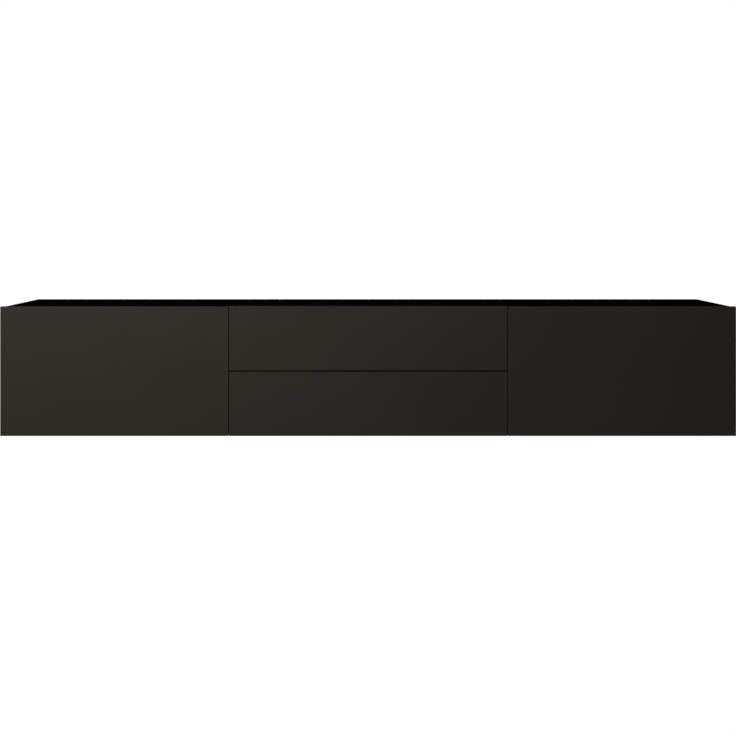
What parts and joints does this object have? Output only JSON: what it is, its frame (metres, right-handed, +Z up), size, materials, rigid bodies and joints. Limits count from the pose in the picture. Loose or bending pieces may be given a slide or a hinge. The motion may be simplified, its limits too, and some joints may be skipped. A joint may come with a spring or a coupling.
{
  "type": "wall-hung lowboard with drawers",
  "caption": "Long low wall-hung cabinet with handle-less lacquered fronts: drop-down flaps at the ends and stacked full-extension drawers in the middle.",
  "frame": {"origin": "middle of the wall rail's back face, on the wall plane, 350 mm above the cabinet's underside", "axes": "+X along the cabinet to its right-hand end seen from the front, -Y out of the fronts into the room, +Y into the wall, +Z up"},
  "size_m": [2.4, 0.45, 0.423],
  "materials": {
    "umber_lacquer": "matt lacquer",
    "black_top": "matt lacquer",
    "interior": "matt lacquer",
    "oak": "oiled",
    "steel": "satin",
    "zinc": "zinc plated",
    "nickel": "satin",
    "plastic": "fine grain"
  },
  "bodies": {
    "carcass": {"top_panel": "black_top", "bottom_panel": "umber_lacquer", "left_side_panel": "umber_lacquer", "right_side_panel": "umber_lacquer", "left_partition": "interior", "right_partition": "interior", "left_shelf": "interior", "right_shelf": "interior", "left_back_panel": "interior", "centre_back_panel": "interior", "right_back_panel": "interior", "wall_rail": "zinc", "left_inner_hanger": "zinc", "left_inner_hinge_arm": "nickel", "left_outer_hanger": "zinc", "left_outer_hinge_arm": "nickel", "left_stay_damper": "plastic", "left_latch_housing": "plastic", "right_inner_hanger": "zinc", "right_inner_hinge_arm": "nickel", "right_outer_hanger": "zinc", "right_outer_hinge_arm": "nickel", "right_stay_damper": "plastic", "right_latch_housing": "plastic", "lower_left_runner_cabinet_member": "steel", "lower_right_runner_cabinet_member": "steel", "upper_left_runner_cabinet_member": "steel", "upper_right_runner_cabinet_member": "steel"},
    "left_flap": {"left_flap_panel": "umber_lacquer", "left_inner_hinge_cup": "nickel", "left_outer_hinge_cup": "nickel", "left_stay_bracket": "steel"},
    "left_stay_lever": {"left_stay_lever": "steel"},
    "left_stay_link": {"left_stay_link": "steel"},
    "left_latch_plunger": {"left_latch_plunger": "plastic"},
    "right_flap": {"right_flap_panel": "umber_lacquer", "right_inner_hinge_cup": "nickel", "right_outer_hinge_cup": "nickel", "right_stay_bracket": "steel"},
    "right_stay_lever": {"right_stay_lever": "steel"},
    "right_stay_link": {"right_stay_link": "steel"},
    "right_latch_plunger": {"right_latch_plunger": "plastic"},
    "lower_drawer": {"lower_drawer_front": "umber_lacquer", "lower_drawer_left_side": "oak", "lower_drawer_right_side": "oak", "lower_drawer_back": "oak", "lower_drawer_bottom": "oak", "lower_left_runner_drawer_member": "steel", "lower_right_runner_drawer_member": "steel"},
    "lower_runner_middle": {"lower_left_runner_middle_member": "steel", "lower_right_runner_middle_member": "steel"},
    "upper_drawer": {"upper_drawer_front": "umber_lacquer", "upper_drawer_left_side": "oak", "upper_drawer_right_side": "oak", "upper_drawer_back": "oak", "upper_drawer_bottom": "oak", "upper_left_runner_drawer_member": "steel", "upper_right_runner_drawer_member": "steel"},
    "upper_runner_middle": {"upper_left_runner_middle_member": "steel", "upper_right_runner_middle_member": "steel"}
  },
  "joints": [
    {"name": "left_flap_hinge", "type": "hinge", "parent": "carcass", "child": "left_flap", "pos_m": [-0.828, -0.441, -0.341], "axis": [1, 0, 0], "range_deg": [0, 90]},
    {"name": "left_stay_lever_pivot", "type": "hinge", "parent": "carcass", "child": "left_stay_lever", "pos_m": [-1.17, -0.311, -0.286], "axis": [1, 0, 0], "range_deg": [0, 90]},
    {"name": "left_stay_link_pivot", "type": "hinge", "parent": "left_stay_lever", "child": "left_stay_link", "pos_m": [-1.1665, -0.29, -0.175], "axis": [1, 0, 0], "range_deg": [-90, 0]},
    {"name": "left_latch_travel", "type": "slide", "parent": "carcass", "child": "left_latch_plunger", "axis": [0, -1, 0], "range_m": [0, 0.012]},
    {"name": "right_flap_hinge", "type": "hinge", "parent": "carcass", "child": "right_flap", "pos_m": [0.828, -0.441, -0.341], "axis": [1, 0, 0], "range_deg": [0, 90]},
    {"name": "right_stay_lever_pivot", "type": "hinge", "parent": "carcass", "child": "right_stay_lever", "pos_m": [1.17, -0.311, -0.286], "axis": [1, 0, 0], "range_deg": [0, 90]},
    {"name": "right_stay_link_pivot", "type": "hinge", "parent": "right_stay_lever", "child": "right_stay_link", "pos_m": [1.1665, -0.29, -0.175], "axis": [1, 0, 0], "range_deg": [-90, 0]},
    {"name": "right_latch_travel", "type": "slide", "parent": "carcass", "child": "right_latch_plunger", "axis": [0, -1, 0], "range_m": [0, 0.012]},
    {"name": "lower_drawer_slide", "type": "slide", "parent": "carcass", "child": "lower_drawer", "axis": [0, -1, 0], "range_m": [0, 0.38]},
    {"name": "lower_runner_middle_slide", "type": "slide", "parent": "carcass", "child": "lower_runner_middle", "axis": [0, -1, 0], "range_m": [0, 0.19]},
    {"name": "upper_drawer_slide", "type": "slide", "parent": "carcass", "child": "upper_drawer", "axis": [0, -1, 0], "range_m": [0, 0.38]},
    {"name": "upper_runner_middle_slide", "type": "slide", "parent": "carcass", "child": "upper_runner_middle", "axis": [0, -1, 0], "range_m": [0, 0.19]}
  ],
  "couplings": [
    {"joint": "left_stay_lever_pivot", "follows": "left_flap_hinge", "ratio": 1},
    {"joint": "left_stay_link_pivot", "follows": "left_flap_hinge", "ratio": -1},
    {"joint": "left_latch_travel", "follows": "left_flap_hinge", "m_per_rad": 0.0076},
    {"joint": "right_stay_lever_pivot", "follows": "right_flap_hinge", "ratio": 1},
    {"joint": "right_stay_link_pivot", "follows": "right_flap_hinge", "ratio": -1},
    {"joint": "right_latch_travel", "follows": "right_flap_hinge", "m_per_rad": 0.0076},
    {"joint": "lower_runner_middle_slide", "follows": "lower_drawer_slide", "ratio": 0.5},
    {"joint": "upper_runner_middle_slide", "follows": "upper_drawer_slide", "ratio": 0.5}
  ]
}
